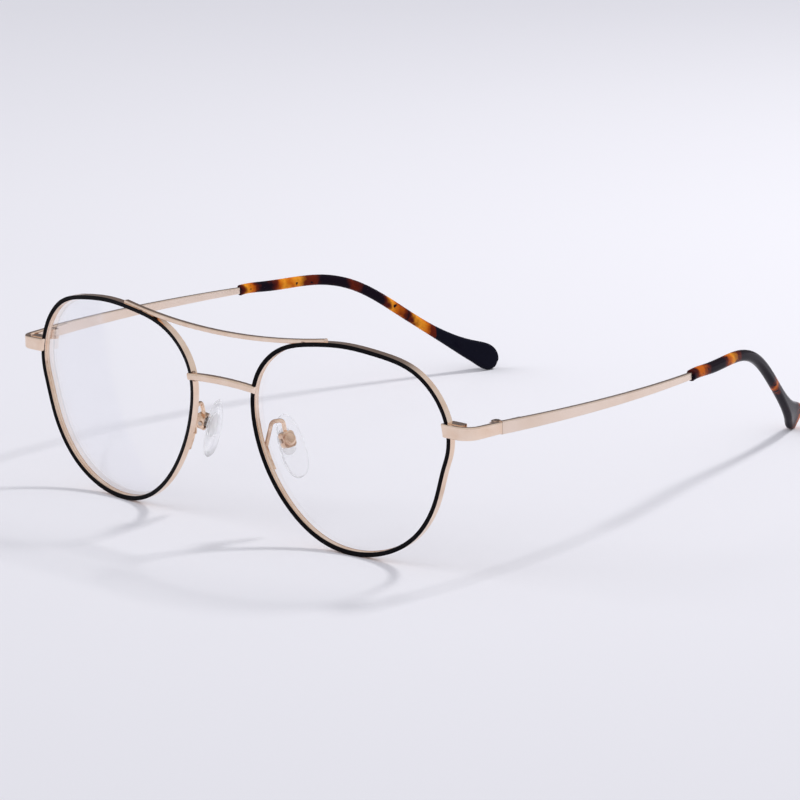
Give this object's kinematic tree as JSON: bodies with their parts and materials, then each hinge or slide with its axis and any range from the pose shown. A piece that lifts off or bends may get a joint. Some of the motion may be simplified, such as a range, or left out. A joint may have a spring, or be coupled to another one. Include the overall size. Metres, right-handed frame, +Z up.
{
  "type": "double bridge glasses",
  "caption": "Thin metal optical frame with clear lenses in enamelled rims, a brow bar over the bridge, soft nose pads and acetate tips on folding temples.",
  "frame": {"origin": "middle of the footprint, on the floor that the open glasses stand on", "axes": "+Z up, the lenses look along -Y, the temples run back along +Y, +X is the wearer's left"},
  "size_m": [0.1442, 0.1462, 0.0469],
  "materials": {
    "rose_gold_polished": "rose gold plate, polished",
    "rose_gold_satin": "rose gold plate, satin",
    "screw_steel": "bright screw",
    "black_enamel": "glossy enamel",
    "clear_lens": "clear, coated",
    "tortoise_acetate": "polished tortoise pattern",
    "clear_silicone": "clear, soft",
    "clear_core": "hard clear core"
  },
  "bodies": {
    "front": {"bridge": "rose_gold_polished", "brow_bar": "rose_gold_polished", "left_rim": "rose_gold_polished", "left_rim_enamel": "black_enamel", "left_lens": "clear_lens", "left_end_piece": "rose_gold_satin", "left_rim_lock_upper": "rose_gold_satin", "left_rim_lock_lower": "rose_gold_satin", "left_rim_lock_screw": "screw_steel", "left_front_hinge": "rose_gold_satin", "left_hinge_screw": "screw_steel", "left_pad_arm": "rose_gold_polished", "left_pad_box": "rose_gold_polished", "left_pad_screw": "screw_steel", "right_rim": "rose_gold_polished", "right_rim_enamel": "black_enamel", "right_lens": "clear_lens", "right_end_piece": "rose_gold_satin", "right_rim_lock_upper": "rose_gold_satin", "right_rim_lock_lower": "rose_gold_satin", "right_rim_lock_screw": "screw_steel", "right_front_hinge": "rose_gold_satin", "right_hinge_screw": "screw_steel", "right_pad_arm": "rose_gold_polished", "right_pad_box": "rose_gold_polished", "right_pad_screw": "screw_steel"},
    "left_temple": {"left_temple": "rose_gold_satin", "left_temple_hinge": "rose_gold_satin", "left_temple_tip": "tortoise_acetate"},
    "left_pad": {"left_nose_pad": "clear_silicone", "left_pad_core": "clear_core"},
    "right_temple": {"right_temple": "rose_gold_satin", "right_temple_hinge": "rose_gold_satin", "right_temple_tip": "tortoise_acetate"},
    "right_pad": {"right_nose_pad": "clear_silicone", "right_pad_core": "clear_core"}
  },
  "joints": [
    {"name": "left_temple_fold", "type": "hinge", "parent": "front", "child": "left_temple", "pos_m": [0.06731, -0.05968, 0.03162], "axis": [0, 0, 1], "range_deg": [0, 84]},
    {"name": "right_temple_fold", "type": "hinge", "parent": "front", "child": "right_temple", "pos_m": [-0.06731, -0.05968, 0.03162], "axis": [0, 0, -1], "range_deg": [0, 78]},
    {"name": "left_pad_rock", "type": "hinge", "parent": "front", "child": "left_pad", "pos_m": [0.0127, -0.06583, 0.02094], "axis": [0.2163, 0.9656, 0.1442], "range_deg": [-7, 7]},
    {"name": "right_pad_rock", "type": "hinge", "parent": "front", "child": "right_pad", "pos_m": [-0.0127, -0.06583, 0.02094], "axis": [-0.2163, 0.9656, 0.1442], "range_deg": [-7, 7]}
  ]
}
